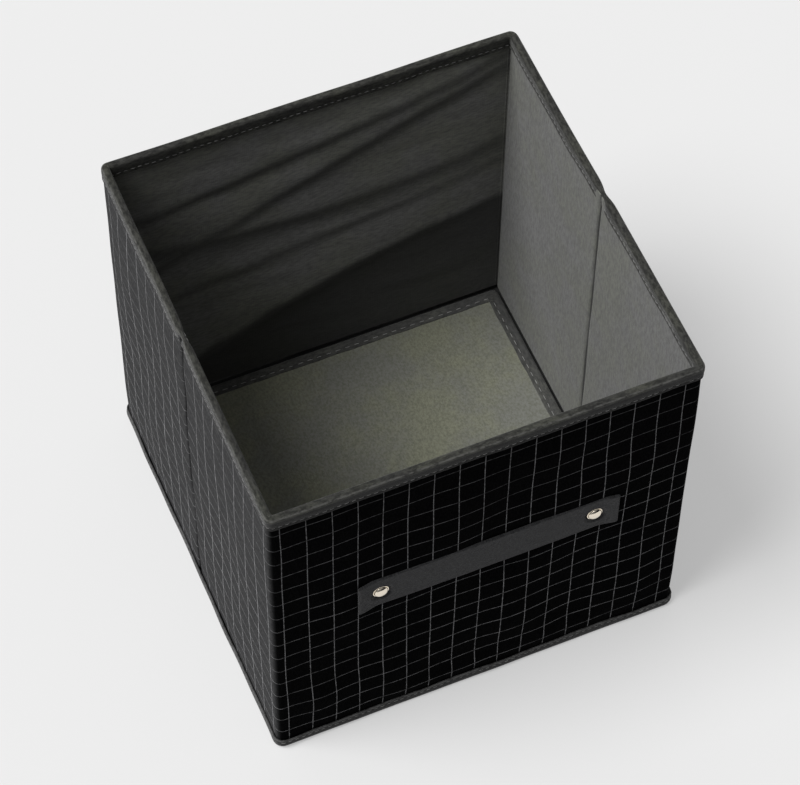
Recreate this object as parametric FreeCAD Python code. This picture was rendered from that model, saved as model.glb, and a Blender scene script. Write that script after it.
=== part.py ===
import FreeCAD, Part
import os

from FreeCAD import Vector

# Collapsible fabric storage cube, in millimetres.
# Origin: centre of the underside. +X right, -Y front (the handle's side), +Z up.
# Four board-stiffened walls stand on a soft bottom, and a loose stitched insert
# lies on it. The left and right walls crease down their middle, so the cube folds
# flat: the creases go inwards and the back wall comes up to the front wall.

# Overall
WIDTH = 280.0  # outside, over the rim tape, in X and in Y
HEIGHT = 280.0
RIM_CORNER_RADIUS = 5.0

# Layers of a wall, from the outside in
TAPE = 0.8
COVER = 0.7
BOARD = 2.2
LINING = 0.7
RIM_TAPE_DROP = 11.0  # how far the rim tape comes down each face
BOARD_TOP_GAP = 1.0  # the board stops this far under the tape's fold
BOARD_END_GAP = 2.5  # soft stretch between a board's end and a crease or corner

# Folding. A side wall turns about a line in its soft corner, a little outside the
# inner corner of the rim, so that the two folded creases just miss each other.
PIVOT_SHIFT = 2.5
PIVOT_GAP = 0.3  # between the folded side wall and the front wall
SIDE_END_GAP = 1.8  # front or back wall's inner face to the end of a side wall
CREASE_GAP = 1.5  # half the gap between the two halves of a side wall
CREASE_PIVOT_GAP = 0.2  # crease line to the outer face of the rim tape
MOVING_WALL_BOTTOM = 6.5  # the walls that fold pass just above the insert

# Bottom
BOTTOM_CLOTH = 1.5
SEAM_TAPE = 0.8
SEAM_TAPE_HEIGHT = 9.5
SEAM_TAPE_GAP = 0.3

# Insert
INSERT_WIDTH = 268.0
INSERT_CORNER_RADIUS = 4.0
INSERT_TAPE = 0.6
INSERT_CLOTH = 0.6
INSERT_BOARD = 1.6
INSERT_TAPE_WIDTH = 9.0
INSERT_EDGE_GAP = 0.1

# Handle
STRAP_LENGTH = 174.0
STRAP_WIDTH = 30.0
STRAP_THICKNESS = 2.2
STRAP_CORNER_RADIUS = 2.0
STRAP_HEIGHT = 156.5  # its centreline above the underside
STRAP_OFFSET = 2.5  # its middle, right of the front panel's middle
RIVET_SPACING = 143.0
RIVET_HOLE_GAP = 0.1
RIVET_POST_RADIUS = 1.5
RIVET_CAP_RADIUS = 5.8
RIVET_CAP_HEIGHT = 1.9
RIVET_WASHER_RADIUS = 5.0
RIVET_WASHER_THICKNESS = 0.5

# Distances of each layer's faces from the middle of the cube
rim_out = WIDTH / 2
cover_out = rim_out - TAPE
board_out = cover_out - COVER
lining_out = board_out - BOARD
wall_in = lining_out - LINING
rim_in = wall_in - TAPE
side_end = rim_in - SIDE_END_GAP
board_half = board_out - BOARD_END_GAP - RIM_CORNER_RADIUS / 2
beyond = WIDTH  # past the cube on any side

# Upright hinge lines of the folding walls, as distances from the middle
corner_pivot_x = rim_in + PIVOT_SHIFT - PIVOT_GAP / 2
corner_pivot_y = rim_in - PIVOT_SHIFT - PIVOT_GAP / 2
crease_pivot_x = rim_out + CREASE_PIVOT_GAP

# Heights
tape_underfold = HEIGHT - TAPE
board_top = tape_underfold - BOARD_TOP_GAP
rim_tape_bottom = HEIGHT - RIM_TAPE_DROP


def block(low, high):
    """Box between two opposite corners, each (x, y, z)."""
    size = [b - a for a, b in zip(low, high)]
    return Part.makeBox(*size, Vector(*low))


def square_prism(half, radius, z_low, z_high):
    """Square prism about the Z axis with its four upright corners rounded."""
    prism = block((-half, -half, z_low), (half, half, z_high))
    if radius <= 0:
        return prism
    uprights = [e for e in prism.Edges if abs(e.tangentAt(e.FirstParameter).z) > 0.9]
    return prism.makeFillet(radius, uprights)


def square_tube(half_out, half_in, z_low, z_high):
    """Upright square tube whose corner radii follow the rim's outside corner."""
    radius_out = RIM_CORNER_RADIUS - (rim_out - half_out)
    radius_in = RIM_CORNER_RADIUS - (rim_out - half_in)
    outside = square_prism(half_out, radius_out, z_low, z_high)
    return outside.cut(square_prism(half_in, radius_in, z_low, z_high))


def rod(radius, x, y_low, y_high):
    """Cylinder along Y, at the strap's height."""
    return Part.makeCylinder(radius, y_high - y_low, Vector(x, y_low, STRAP_HEIGHT), Vector(0, 1, 0))


class Panel:
    """One stiff panel: where its cloth reaches, and where its board lies."""

    def __init__(self, name, low, high, board_low, board_high, bottom):
        self.name = name
        self.bottom = bottom
        self.zone = block((*low, bottom), (*high, HEIGHT))
        self.board = block((*board_low, bottom + BOARD_TOP_GAP), (*board_high, board_top))

    def take(self, tube):
        """This panel's share of a layer that runs round the whole cube."""
        return tube.common(self.zone)


def across(name, side, bottom):
    """The front panel (side -1) or the back panel (side 1)."""
    ys = sorted((side * rim_in, side * beyond))
    board_ys = sorted((side * lining_out, side * board_out))
    return Panel(
        name,
        (-beyond, ys[0]),
        (beyond, ys[1]),
        (-board_half, board_ys[0]),
        (board_half, board_ys[1]),
        bottom,
    )


def side_half(name, side, end):
    """Half of a side wall: side -1 is left, end -1 is the half next to the front."""
    xs = sorted((0.0, side * beyond))
    ys = sorted((end * CREASE_GAP, end * side_end))
    board_xs = sorted((side * lining_out, side * board_out))
    board_ys = (ys[0] + BOARD_END_GAP, ys[1] - BOARD_END_GAP)
    return Panel(
        name,
        (xs[0], ys[0]),
        (xs[1], ys[1]),
        (board_xs[0], board_ys[0]),
        (board_xs[1], board_ys[1]),
        MOVING_WALL_BOTTOM,
    )


def make_walls():
    """Cover, board, lining and rim tape of each of the six panels."""
    panels = [
        across("front", -1, BOTTOM_CLOTH),
        side_half("left_front", -1, -1),
        side_half("left_rear", -1, 1),
        side_half("right_front", 1, -1),
        side_half("right_rear", 1, 1),
        across("back", 1, MOVING_WALL_BOTTOM),
    ]
    cover = square_tube(cover_out, board_out, 0, tape_underfold)
    lining = square_tube(lining_out, wall_in, 0, tape_underfold)
    folded_over = square_tube(cover_out, wall_in, 0, tape_underfold)
    tape = square_tube(rim_out, rim_in, rim_tape_bottom, HEIGHT).cut(folded_over)
    nodes = {}
    for panel in panels:
        nodes[panel.name + "_cover"] = panel.take(cover)
        nodes[panel.name + "_board"] = panel.board
        nodes[panel.name + "_lining"] = panel.take(lining)
        nodes[panel.name + "_rim_tape"] = panel.take(tape)
    return nodes


def make_bottom():
    """The soft bottom cloth, and the tape bound round the seam at its edge."""
    tape_in = cover_out + SEAM_TAPE_GAP
    tape_out = tape_in + SEAM_TAPE
    cloth_radius = RIM_CORNER_RADIUS - (rim_out - tape_in)
    return {
        "bottom_cloth": square_prism(tape_in, cloth_radius, 0, BOTTOM_CLOTH),
        "bottom_seam_tape": square_tube(tape_out, tape_in, 0, SEAM_TAPE_HEIGHT),
    }


def make_insert():
    """The loose stiffened base: a board between two cloths, bound round its edge."""
    half = INSERT_WIDTH / 2
    bound_in = half - INSERT_TAPE
    radius_in = INSERT_CORNER_RADIUS - INSERT_TAPE
    cloth_half = bound_in - INSERT_EDGE_GAP
    heights = [BOTTOM_CLOTH + INSERT_TAPE]
    for layer in (INSERT_CLOTH, INSERT_BOARD, INSERT_CLOTH):
        heights.append(heights[-1] + layer)
    top = heights[-1] + INSERT_TAPE
    names = ("insert_lower_cloth", "insert_board", "insert_upper_cloth")
    nodes = {
        name: square_prism(cloth_half, radius_in, low, high)
        for name, low, high in zip(names, heights, heights[1:])
    }
    binding = square_prism(half, INSERT_CORNER_RADIUS, BOTTOM_CLOTH, top)
    binding = binding.cut(square_prism(bound_in, radius_in, heights[0], heights[-1]))
    window = half - INSERT_TAPE_WIDTH
    nodes["insert_binding"] = binding.cut(square_prism(window, 0, BOTTOM_CLOTH, top))
    return nodes


def make_cap(x, y_base):
    """Domed rivet cap, standing off the strap towards the front."""
    dome_radius = (RIVET_CAP_RADIUS**2 + RIVET_CAP_HEIGHT**2) / (2 * RIVET_CAP_HEIGHT)
    tip = y_base - RIVET_CAP_HEIGHT
    dome = Part.makeSphere(dome_radius, Vector(x, tip + dome_radius, STRAP_HEIGHT))
    return dome.common(rod(RIVET_CAP_RADIUS + 1, x, tip - 1, y_base))


def make_handle(nodes):
    """The flat strap and its two rivets. It pierces the front panel's layers."""
    strap_back = -cover_out
    strap_front = strap_back - STRAP_THICKNESS
    washer_back = -lining_out
    washer_front = washer_back - RIVET_WASHER_THICKNESS
    low = (STRAP_OFFSET - STRAP_LENGTH / 2, strap_front, STRAP_HEIGHT - STRAP_WIDTH / 2)
    high = (STRAP_OFFSET + STRAP_LENGTH / 2, strap_back, STRAP_HEIGHT + STRAP_WIDTH / 2)
    strap = block(low, high)
    corners = [e for e in strap.Edges if abs(e.tangentAt(e.FirstParameter).y) > 0.9]
    strap = strap.makeFillet(STRAP_CORNER_RADIUS, corners)
    caps, posts, washers = [], [], []
    for x in (STRAP_OFFSET - RIVET_SPACING / 2, STRAP_OFFSET + RIVET_SPACING / 2):
        hole = rod(RIVET_POST_RADIUS + RIVET_HOLE_GAP, x, strap_front, washer_back)
        pocket = rod(RIVET_WASHER_RADIUS + RIVET_HOLE_GAP, x, washer_front, washer_back)
        strap = strap.cut(hole)
        nodes["front_cover"] = nodes["front_cover"].cut(hole)
        nodes["front_board"] = nodes["front_board"].cut(hole).cut(pocket)
        caps.append(make_cap(x, strap_front))
        posts.append(rod(RIVET_POST_RADIUS, x, strap_front, washer_front))
        washers.append(rod(RIVET_WASHER_RADIUS, x, washer_front, washer_back))
    nodes["handle_strap"] = strap
    nodes["rivet_caps"] = Part.makeCompound(caps)
    nodes["rivet_posts"] = Part.makeCompound(posts)
    nodes["rivet_washers"] = Part.makeCompound(washers)


def main():
    nodes = make_walls()
    nodes.update(make_bottom())
    nodes.update(make_insert())
    make_handle(nodes)
    os.makedirs("parts", exist_ok=True)
    for name, shape in nodes.items():
        shape.exportStep("parts/" + name + ".step")
        solids = len(shape.Solids)
        print(f"{name}: {solids} solid(s), {shape.Volume:.0f} mm3, valid {shape.isValid()}")
    print(f"corner hinges at x {corner_pivot_x:.2f}, y {corner_pivot_y:.2f}")
    print(f"crease hinges at x {crease_pivot_x:.2f}, y 0")


main()
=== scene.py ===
"""Looks of a collapsible fabric storage cube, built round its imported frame.

Lengths are in metres. The walls are laid out along one line that runs round the cube: u is
the distance along it from the middle of the front, positive to the right, and v is height.
"""

import logging
import math
from dataclasses import dataclass
from enum import Enum
from typing import Any, Callable, Mapping, Sequence

import bpy
import numpy as np
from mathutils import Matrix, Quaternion, Vector


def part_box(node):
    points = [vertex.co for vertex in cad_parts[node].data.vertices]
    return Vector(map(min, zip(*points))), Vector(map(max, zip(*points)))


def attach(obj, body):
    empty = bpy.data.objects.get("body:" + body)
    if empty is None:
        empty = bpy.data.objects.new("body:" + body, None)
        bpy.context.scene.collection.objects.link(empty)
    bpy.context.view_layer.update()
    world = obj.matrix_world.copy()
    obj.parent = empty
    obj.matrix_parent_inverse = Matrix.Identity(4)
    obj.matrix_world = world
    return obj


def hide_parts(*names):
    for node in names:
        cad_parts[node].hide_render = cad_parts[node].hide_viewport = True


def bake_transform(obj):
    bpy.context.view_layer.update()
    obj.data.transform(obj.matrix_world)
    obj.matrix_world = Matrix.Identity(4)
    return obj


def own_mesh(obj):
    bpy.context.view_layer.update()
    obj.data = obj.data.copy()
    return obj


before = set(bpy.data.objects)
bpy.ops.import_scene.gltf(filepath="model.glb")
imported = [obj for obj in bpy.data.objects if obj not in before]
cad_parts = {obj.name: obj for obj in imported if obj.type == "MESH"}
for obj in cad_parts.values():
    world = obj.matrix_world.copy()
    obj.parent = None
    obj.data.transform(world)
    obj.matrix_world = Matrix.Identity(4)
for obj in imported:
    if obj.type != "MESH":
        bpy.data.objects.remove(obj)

LOG = logging.getLogger("storage_bin")
MM = 0.001
Colour = tuple[float, float, float]


def smooth(share: np.ndarray) -> np.ndarray:
    """Eased step from 0 to 1 as share goes from 0 to 1."""
    x = np.clip(share, 0.0, 1.0)
    return x * x * (3.0 - 2.0 * x)


def rise(x: np.ndarray, low: float, high: float) -> np.ndarray:
    """Eased step from 0 at low to 1 at high."""
    return smooth((x - low) / (high - low))


def bell(x: np.ndarray, width: float) -> np.ndarray:
    """Smooth bump of height 1 at x = 0 that dies away over width."""
    return np.exp(-((x / width) ** 2))


# ---------------------------------------------------------------- sizes


@dataclass(frozen=True)
class BinSizes:
    """Distances of the cube's layers from its middle, and its heights."""

    half: float
    height: float
    cover: float
    lining: float
    rim_in: float
    tape_bottom: float
    seam_out: float
    seam_top: float

    @classmethod
    def from_frame(cls) -> "BinSizes":
        """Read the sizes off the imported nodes.

        Returns:
            The sizes.
        """
        rim_low, rim_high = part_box("front_rim_tape")
        side_rim_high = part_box("left_front_rim_tape")[1]
        side_cover_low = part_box("left_front_cover")[0]
        side_lining_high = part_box("left_front_lining")[1]
        seam_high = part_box("bottom_seam_tape")[1]
        return cls(
            half=-rim_low.y,
            height=rim_high.z,
            cover=-side_cover_low.x,
            lining=-side_lining_high.x,
            rim_in=-side_rim_high.x,
            tape_bottom=rim_low.z,
            seam_out=seam_high.x,
            seam_top=seam_high.z,
        )


@dataclass(frozen=True)
class PlanLoop:
    """Square line with rounded corners, seen from above, walked from the front's middle."""

    side: float
    half: float
    radius: float

    def at(self, u: np.ndarray) -> tuple[np.ndarray, np.ndarray]:
        """Places along the line.

        Args:
            u: distances along the nominal square, whose half width is self.side.

        Returns:
            The points and the outward normals, each with a last axis of x, y.
        """
        wall = np.floor((u + self.side) / (2 * self.side))
        along = u - 2 * self.side * wall
        straight = self.half - self.radius
        past = np.abs(along) - straight
        turn = np.clip(past / (self.side - straight), 0.0, 1.0) * math.pi / 4
        round_it = past > 0
        sign = np.sign(along)
        tangent_part = np.where(round_it, sign * (straight + self.radius * np.sin(turn)), along)
        normal_part = np.where(round_it, straight + self.radius * np.cos(turn), self.half)
        heading = wall * math.pi / 2
        tangent = np.stack([np.cos(heading), np.sin(heading)], -1)
        normal = np.stack([np.sin(heading), -np.cos(heading)], -1)
        lean = np.where(round_it, turn * sign, 0.0)
        facing = np.cos(lean)[..., None] * normal + np.sin(lean)[..., None] * tangent
        points = tangent_part[..., None] * tangent + normal_part[..., None] * normal
        return points, facing

    def nominal(self, u: float) -> float:
        """Find the u whose point is a given way along its wall, in a straight line.

        Args:
            u: the distance wanted, round the square of half width self.side.

        Returns:
            The u to give self.at.
        """
        wall = math.floor((u + self.side) / (2 * self.side))
        along = u - 2 * self.side * wall
        straight = self.half - self.radius
        if abs(along) <= straight:
            return u
        turn = math.asin(min((abs(along) - straight) / self.radius, math.sin(math.pi / 4)))
        past = turn / (math.pi / 4) * (self.side - straight)
        return 2 * self.side * wall + math.copysign(straight + past, along)

    def length(self, start: float, end: float) -> float:
        """Real length of the line between two places on it."""
        points, _ = self.at(np.linspace(start, end, 400))
        return float(np.linalg.norm(np.diff(points, axis=0), axis=1).sum())

    def around(self, step: float) -> np.ndarray:
        """Places about a step apart, once round the line."""
        rows = int(8 * self.side / step)
        return np.arange(rows) * 8 * self.side / rows - self.side

    def place(self, u: np.ndarray, out: np.ndarray, v: np.ndarray) -> np.ndarray:
        """Points in space.

        Args:
            u: distances along the line.
            out: distances out from it.
            v: heights above the ground.

        Returns:
            The points, with a last axis of x, y, z.
        """
        points, facing = self.at(u)
        flat = points + facing * out[..., None]
        return np.concatenate([flat, v[..., None]], -1)


@dataclass(frozen=True)
class Ripples:
    """Waves of slack cloth: a sum of plane waves drawn from one seed."""

    seed: int
    height: float
    shortest: float
    longest: float
    heading: float = 0.0
    spread: float = math.pi
    waves: int = 10

    def at(self, u: np.ndarray, v: np.ndarray) -> np.ndarray:
        """Height of the waves.

        Args:
            u: the cloth's first coordinate.
            v: its second.

        Returns:
            The height at each point.
        """
        rng = np.random.default_rng(self.seed)
        total = np.zeros(np.broadcast(u, v).shape)
        for _ in range(self.waves):
            length = self.shortest * (self.longest / self.shortest) ** rng.random()
            way = self.heading + self.spread * (rng.random() - 0.5)
            phase = rng.random() * 2 * math.pi
            across = (u * math.cos(way) + v * math.sin(way)) / length
            total += (length / self.longest) * np.sin(2 * math.pi * across + phase)
        return total * self.height / math.sqrt(self.waves / 2)


@dataclass(frozen=True)
class DragFold:
    """A soft fold across the back lining: how high it runs at the left, middle and right."""

    left: float
    middle: float
    right: float
    depth: float
    above: float
    below: float
    shade: float

    def line(self, across: Any) -> Any:
        """Height of the fold; across is -1 at the wall's left and 1 at its right."""
        bow = (self.left + self.right) / 2 - self.middle
        return self.middle + (self.right - self.left) / 2 * across + bow * across * across

    def at(self, across: np.ndarray, v: np.ndarray) -> np.ndarray:
        """How far the fold lifts the cloth off the board.

        Args:
            across: -1 at the wall's left and 1 at its right.
            v: heights.

        Returns:
            The lift at each point.
        """
        over = v - self.line(across)
        reach = np.where(over > 0, self.above, self.below)
        return self.depth * np.exp(-((over / reach) ** 2))


BACK_FOLDS = (
    DragFold(16 * MM, 86 * MM, 116 * MM, 3.6 * MM, 32 * MM, 7 * MM, 0.85),
    DragFold(190 * MM, 168 * MM, 182 * MM, 2.5 * MM, 26 * MM, 7 * MM, 0.50),
    DragFold(150 * MM, 208 * MM, 258 * MM, 2.3 * MM, 18 * MM, 6 * MM, 0.55),
    DragFold(214 * MM, 236 * MM, 268 * MM, 1.7 * MM, 12 * MM, 5 * MM, 0.50),
    DragFold(120 * MM, 138 * MM, 160 * MM, 1.2 * MM, 14 * MM, 6 * MM, 0.35),
)


# ---------------------------------------------------------------- shader graphs


class Value:
    """One output of a shader graph. Arithmetic on it adds Math nodes."""

    def __init__(self, graph: "Graph", socket: bpy.types.NodeSocket) -> None:
        """Wrap a socket of that graph."""
        self.graph = graph
        self.socket = socket

    def maths(self, operation: str, *others: Any) -> "Value":
        """Add a Math node that works on this value and the others."""
        return self.graph.node("ShaderNodeMath", {"operation": operation}, (self, *others))

    def __add__(self, other: Any) -> "Value":
        """Sum."""
        return self.maths("ADD", other)

    __radd__ = __add__

    def __mul__(self, other: Any) -> "Value":
        """Product."""
        return self.maths("MULTIPLY", other)

    __rmul__ = __mul__

    def __sub__(self, other: Any) -> "Value":
        """Difference."""
        return self.maths("SUBTRACT", other)

    def __rsub__(self, other: Any) -> "Value":
        """Difference, the other way round."""
        return self.graph.node("ShaderNodeMath", {"operation": "SUBTRACT"}, (other, self))

    def __truediv__(self, other: Any) -> "Value":
        """Quotient."""
        return self.maths("DIVIDE", other)

    def __abs__(self) -> "Value":
        """Size without sign."""
        return self.maths("ABSOLUTE")

    def sine(self) -> "Value":
        """Sine of this angle."""
        return self.maths("SINE")

    def most(self, other: Any) -> "Value":
        """The larger of the two."""
        return self.maths("MAXIMUM", other)

    def span(self, low: float, high: float, start: float = 0.0, end: float = 1.0) -> "Value":
        """Eased step.

        Args:
            low: where this value starts the step.
            high: where it ends it.
            start: the result at low.
            end: the result at high.

        Returns:
            The result.
        """
        return self.graph.node(
            "ShaderNodeMapRange",
            {"interpolation_type": "SMOOTHSTEP"},
            {"Value": self, "From Min": low, "From Max": high, "To Min": start, "To Max": end},
        )

    def nearest_line(self, pitch: float, first: float) -> "Value":
        """Distance to the nearest of the lines at first, first + pitch and so on."""
        cells = (self - first) / pitch + 0.5
        return abs(cells.maths("FLOORED_MODULO", 1.0) - 0.5) * pitch


class Graph:
    """The node tree of one material, or of the world."""

    def __init__(self, owner: bpy.types.Material | bpy.types.World) -> None:
        """Start an empty tree.

        Args:
            owner: the material or world that has the tree.
        """
        self.owner = owner
        owner.use_nodes = True
        self.tree = owner.node_tree
        self.tree.nodes.clear()

    @classmethod
    def material(cls, name: str) -> "Graph":
        """Start a material of that name."""
        return cls(bpy.data.materials.new(name))

    def node(
        self,
        kind: str,
        settings: Mapping[str, Any] | None = None,
        inputs: Mapping[Any, Any] | Sequence[Any] = (),
        output: int | str = 0,
    ) -> Value:
        """Add one node.

        Args:
            kind: the node's type.
            settings: its properties, set before its sockets.
            inputs: what its sockets take, by name or in order: numbers, colours or Values.
            output: which output to return.

        Returns:
            That output.
        """
        made = self.tree.nodes.new(kind)
        for key, value in (settings or {}).items():
            setattr(made, key, value)
        pairs = inputs.items() if isinstance(inputs, Mapping) else enumerate(inputs)
        for key, value in pairs:
            socket = made.inputs[key] if isinstance(key, int) else self.find(made.inputs, key)
            if isinstance(value, Value):
                self.tree.links.new(value.socket, socket)
            elif isinstance(value, tuple) and len(value) == 3 and socket.type == "RGBA":
                socket.default_value = (*value, 1.0)
            else:
                socket.default_value = value
        if not made.outputs:
            return Value(self, None)
        if isinstance(output, int):
            return Value(self, made.outputs[output])
        return Value(self, self.find(made.outputs, output))

    @staticmethod
    def find(sockets: Any, key: str) -> bpy.types.NodeSocket:
        """Find a socket.

        Args:
            sockets: the sockets to look in.
            key: its identifier or name.

        Returns:
            The socket.
        """
        for socket in sockets:
            if socket.identifier == key:
                return socket
        return sockets[key]

    def cloth_place(self) -> tuple[Value, Value, Value]:
        """The cloth's own coordinates, in metres.

        Returns:
            Both as one vector, then the one along the cloth, and the one up it.
        """
        place = self.node("ShaderNodeUVMap", {"uv_map": "cloth"})
        parts = self.node("ShaderNodeSeparateXYZ", {}, (place,))
        return place, parts, Value(self, parts.socket.node.outputs[1])

    def noise(
        self, place: Value, size: float, detail: float = 3.0, seed: float = 0.0, rough: float = 0.5
    ) -> Value:
        """Soft noise.

        Args:
            place: where on the cloth.
            size: about how large its blobs are.
            detail: how many finer layers it has.
            seed: which noise of its kind it is.
            rough: how strong the finer layers are.

        Returns:
            The noise, from 0 to 1.
        """
        return self.node(
            "ShaderNodeTexNoise",
            {"noise_dimensions": "4D"},
            {"Vector": place, "W": seed, "Scale": 1 / size, "Detail": detail, "Roughness": rough},
        )

    def stretched(self, place: Value, along: float, up: float) -> Value:
        """The place with its two coordinates scaled, for grain with a direction."""
        scale = (along, up, 1.0)
        return self.node("ShaderNodeVectorMath", {"operation": "MULTIPLY"}, (place, scale))

    def mix(self, share: Value, first: Colour | Value, second: Colour | Value) -> Value:
        """Mix two colours.

        Args:
            share: how much of the second there is.
            first: the first.
            second: the second.

        Returns:
            The colour.
        """
        return self.node(
            "ShaderNodeMix",
            {"data_type": "RGBA"},
            {"Factor_Float": share, "A_Color": first, "B_Color": second},
            "Result_Color",
        )

    def grain(self, place: Value, along: float, up: float, size: float, seed: float) -> Value:
        """Matted grain whose blobs are drawn out by along and up."""
        return self.noise(self.stretched(place, 1 / along, 1 / up), size, 5.0, seed, 0.68)

    def crease_shade(self, along: Value, crease_at: float, reach: float) -> Value:
        """Mask of painted shade: 1 in the grooves at the middle of the side walls."""
        return abs(abs(along) - crease_at).span(reach * 0.3, reach, 1.0, 0.0)

    def emboss(self, along: Value, up: Value, pitch: float) -> Value:
        """Rows of the small pressed dots that bond a non-woven cloth.

        Args:
            along: the cloth's coordinate along it.
            up: the one up it.
            pitch: how far apart the dots are.

        Returns:
            1 in each dot, and 0 between them.
        """
        turn = 2 * math.pi / pitch
        diagonal, other = (along + up) * (turn / 2), (along - up) * (turn / 2)
        return (diagonal.sine() * other.sine()).span(0.25, 0.8)

    def finish(
        self,
        colour: Value | Colour,
        roughness: Value | float,
        height: Value | None,
        depth: float,
        constants: Mapping[str, Any] | None = None,
    ) -> bpy.types.Material:
        """Close the graph with its surface.

        Args:
            colour: base colour.
            roughness: roughness.
            height: relief from 0 to 1, or None for a smooth surface.
            depth: how deep the relief is.
            constants: sockets of the surface that are the same all over.

        Returns:
            The finished material.
        """
        sockets = {"Base Color": colour, "Roughness": roughness, **(constants or {})}
        if height is not None:
            sockets["Normal"] = self.node(
                "ShaderNodeBump", {}, {"Height": height, "Distance": depth, "Strength": 1.0}
            )
        surface = self.node("ShaderNodeBsdfPrincipled", {}, sockets)
        self.node("ShaderNodeOutputMaterial", {}, {"Surface": surface})
        return self.owner


# ---------------------------------------------------------------- finishes


@dataclass(frozen=True)
class GridCloth:
    """Black non-woven cover cloth with a fine printed grid, painted paler off the front as painted
    light for the key light on the side walls.
    """

    name: str = "grid_cloth"
    pitch: float = 16.2 * MM
    first_upright: float = -2.3 * MM
    first_level: float = 18.5 * MM
    upright_width: float = 0.52 * MM
    level_width: float = 0.60 * MM
    corner_at: float = 140 * MM
    crease_at: float = 280 * MM
    black: Colour = (0.0010, 0.0010, 0.0011)
    worn: Colour = (0.0032, 0.0032, 0.0034)
    # painted light: off the front, the cloth and print are painted paler to stand in for the key
    # light on the side walls
    rubbed_and_side_lit: Colour = (0.066, 0.066, 0.067)
    side_light_deep: Colour = (0.036, 0.036, 0.037)
    print_grey: Colour = (0.19, 0.19, 0.195)
    side_lit_print: Colour = (0.40, 0.40, 0.41)

    def lines(self, across: Value, width: float, first: float) -> Value:
        """Printed lines across one coordinate, 1 on a line."""
        distance = across.nearest_line(self.pitch, first)
        return distance.span(width * 0.25, width * 0.75, 1.0, 0.0)

    def printed(self, g: Graph, place: Value, along: Value, up: Value) -> Value:
        """The printed grid, with uneven lines and ink.

        Args:
            g: the material's graph.
            place: the cloth's coordinates.
            along: the one along it.
            up: the one up it.

        Returns:
            1 at full ink, and 0 where there is none.
        """
        drift = (g.noise(place, 90 * MM, 1.0, 3.0) - 0.5) * (3.0 * MM)
        low = up.span(40 * MM, 200 * MM, 8.0 * MM, 3.0 * MM)
        waver = (g.noise(place, 45 * MM, 1.0, 13.0) - 0.5) * low
        ink = g.noise(place, 3 * MM, 4.0, 7.0)
        uprights = self.lines(along + drift, self.upright_width, self.first_upright)
        levels = self.lines(up + waver, self.level_width, self.first_level)
        faint = g.noise(place, 60 * MM, 2.0, 11.0).span(0.3, 0.7, 0.45, 0.9)
        faint = faint * up.span(100 * MM, 270 * MM, 1.0, 0.55)
        worn_off = ink.span(0.3, 0.65, 0.35, 1.0) * up.span(120 * MM, 280 * MM, 1.0, 0.75)
        return uprights.most(levels * faint) * worn_off

    def build(self) -> bpy.types.Material:
        """Make the material.

        Returns:
            The material.
        """
        g = Graph.material(self.name)
        place, along, up = g.cloth_place()
        # side is 1 off the front wall, where the painted side light goes
        side = abs(along).span(self.corner_at - 2.5 * MM, self.corner_at + 5 * MM)
        fibre = g.noise(g.stretched(place, 1.0, 0.35), 0.7 * MM, 4.0, 1.0)
        nap = g.grain(place, 1.0, 1.9, 1.5 * MM, 5.0)
        front_cloth = g.mix(fibre.span(0.35, 0.75), self.black, self.worn)
        side_lit_cloth = g.mix(nap.span(0.34, 0.66) * 0.8, self.side_light_deep, self.rubbed_and_side_lit)
        cloth = g.mix(side, front_cloth, side_lit_cloth)
        # the print is painted lighter off the front too, as painted light
        ink = g.mix(side, self.print_grey, self.side_lit_print)
        colour = g.mix(self.printed(g, place, along, up), cloth, ink)
        # painted shade: the cover is darkened to black in the crease groove
        colour = g.mix(g.crease_shade(along, self.crease_at, 2.2 * MM) * 0.9, colour, self.black)
        dots = g.emboss(along, up, 1.5 * MM)
        relief = fibre * 0.4 + nap * 0.3 + (1.0 - dots) * 0.3
        rough = fibre.span(0.2, 0.8, 0.78, 0.95)
        return g.finish(
            colour, rough, relief, 0.16 * MM,
            {"Sheen Weight": 0.022, "Sheen Roughness": 0.3, "Specular IOR Level": 0.0},
        )


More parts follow.
